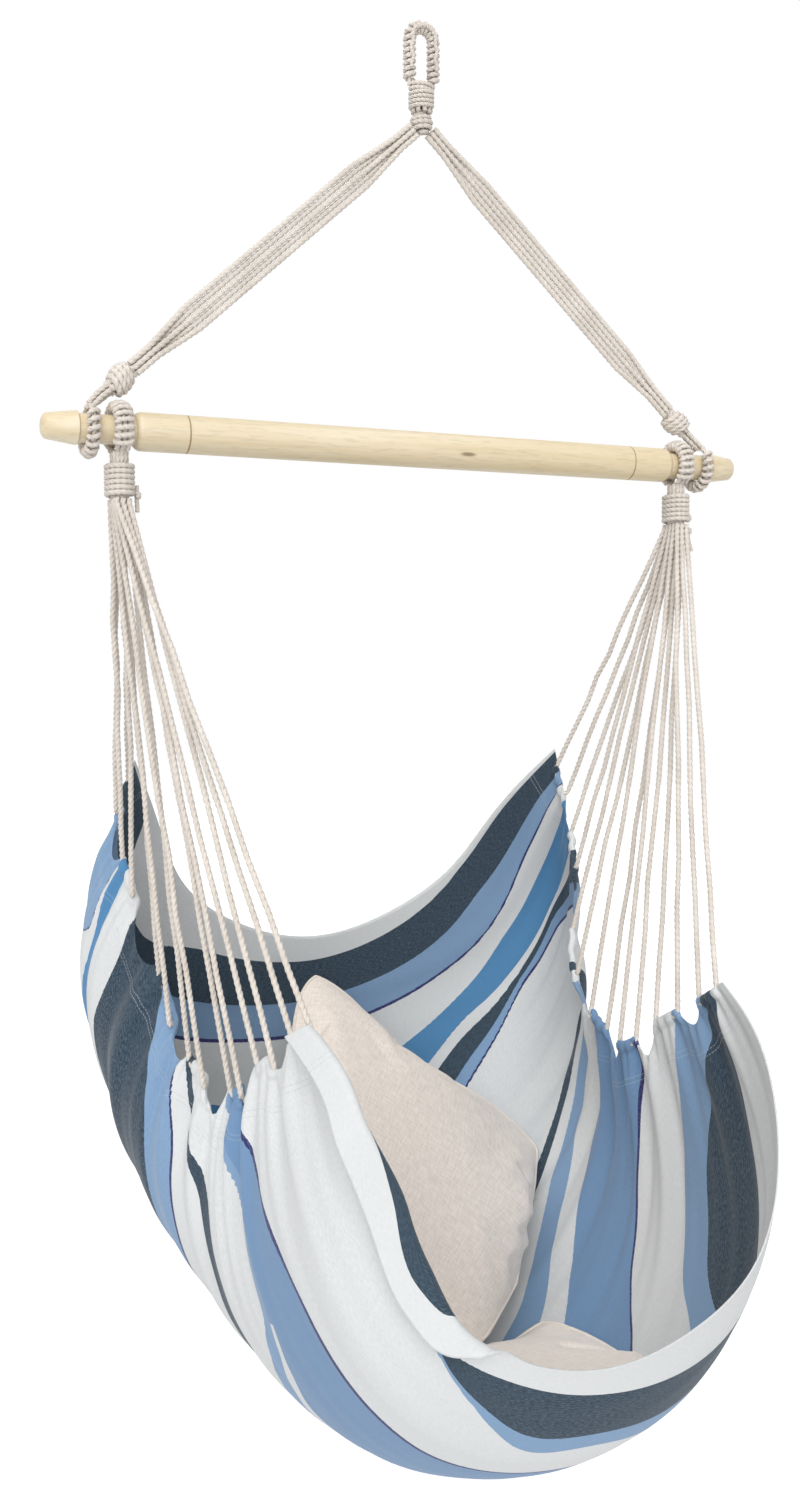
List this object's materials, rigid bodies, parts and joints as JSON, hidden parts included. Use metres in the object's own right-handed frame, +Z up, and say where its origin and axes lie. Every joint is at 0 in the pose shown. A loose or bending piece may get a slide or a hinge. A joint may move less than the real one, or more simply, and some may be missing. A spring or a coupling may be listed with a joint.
{
  "type": "hanging hammock chair",
  "caption": "Striped cotton seat on cords from a wooden spreader bar, hung by a cord bridle from one wound eye, with two loose linen cushions.",
  "frame": {"origin": "inside top of the hanging eye, where a hook bears", "axes": "+X along the spreader bar, +Y to the back of the seat, +Z up"},
  "size_m": [0.85, 0.7639, 1.5699],
  "materials": {
    "cord": "undyed three-strand twisted cotton cord",
    "striped_cotton": "woven cotton with white, navy, blue and purple stripes along the seat",
    "linen": "plain beige linen weave",
    "filling": "soft fibre filling inside a cover",
    "beech": "pale turned wood, thin clear finish"
  },
  "bodies": {
    "eye": {"hanging_eye": "cord", "eye_serving": "cord"},
    "neck": {"neck_core": "cord", "neck_binding": "cord"},
    "ball": {"throat_ball": "cord"},
    "bridle": {"left_bridle_cord_1": "cord", "left_bridle_cord_2": "cord", "left_bridle_cord_3": "cord", "left_bridle_cord_4": "cord", "left_bridle_cord_5": "cord", "right_bridle_cord_1": "cord", "right_bridle_cord_2": "cord", "right_bridle_cord_3": "cord", "right_bridle_cord_4": "cord", "right_bridle_cord_5": "cord", "left_bridle_knot": "cord", "right_bridle_knot": "cord", "left_bridle_eye": "cord", "right_bridle_eye": "cord", "left_bridle_eye_serving": "cord", "right_bridle_eye_serving": "cord"},
    "bar": {"spreader_bar": "beech"},
    "seat": {"left_seat_eye": "cord", "left_seat_eye_serving": "cord", "left_seat_binding": "cord", "left_seat_tail": "cord", "right_seat_eye": "cord", "right_seat_eye_serving": "cord", "right_seat_binding": "cord", "right_seat_tail": "cord", "right_seat_long_tail": "cord", "left_suspension_cord_1": "cord", "left_suspension_cord_2": "cord", "left_suspension_cord_3": "cord", "left_suspension_cord_4": "cord", "left_suspension_cord_5": "cord", "left_suspension_cord_6": "cord", "left_suspension_cord_7": "cord", "right_suspension_cord_1": "cord", "right_suspension_cord_2": "cord", "right_suspension_cord_3": "cord", "right_suspension_cord_4": "cord", "right_suspension_cord_5": "cord", "right_suspension_cord_6": "cord", "right_suspension_cord_7": "cord", "seat_cloth": "striped_cotton"},
    "seat_cushion": {"seat_cushion_front_panel": "linen", "seat_cushion_rear_panel": "linen", "seat_cushion_filling": "filling"},
    "back_cushion": {"back_cushion_front_panel": "linen", "back_cushion_rear_panel": "linen", "back_cushion_filling": "filling"}
  },
  "joints": [
    {"name": "eye_turn", "type": "hinge", "parent": "eye", "child": "neck", "pos_m": [0, 0, -0.059], "axis": [0, 0, 1], "range_deg": [-180, 180]},
    {"name": "side_swing", "type": "hinge", "parent": "neck", "child": "ball", "pos_m": [0, 0, -0.096], "axis": [0, 1, 0], "range_deg": [-20, 20]},
    {"name": "fore_aft_swing", "type": "hinge", "parent": "ball", "child": "bridle", "pos_m": [0, 0, -0.096], "axis": [1, 0, 0], "range_deg": [-35, 35]},
    {"name": "bar_roll", "type": "hinge", "parent": "bridle", "child": "bar", "pos_m": [0, 0, -0.454], "axis": [1, 0, 0], "continuous": true},
    {"name": "seat_pivot", "type": "hinge", "parent": "bridle", "child": "seat", "pos_m": [0, 0, -0.454], "axis": [1, 0, 0], "range_deg": [-25, 25]},
    {"name": "seat_cushion_lift", "type": "slide", "parent": "seat", "child": "seat_cushion", "axis": [0, 0, 1], "range_m": [0, 0.15]},
    {"name": "back_cushion_lift", "type": "slide", "parent": "seat_cushion", "child": "back_cushion", "axis": [0, -0.35, 0.9367], "range_m": [0, 0.25]}
  ]
}
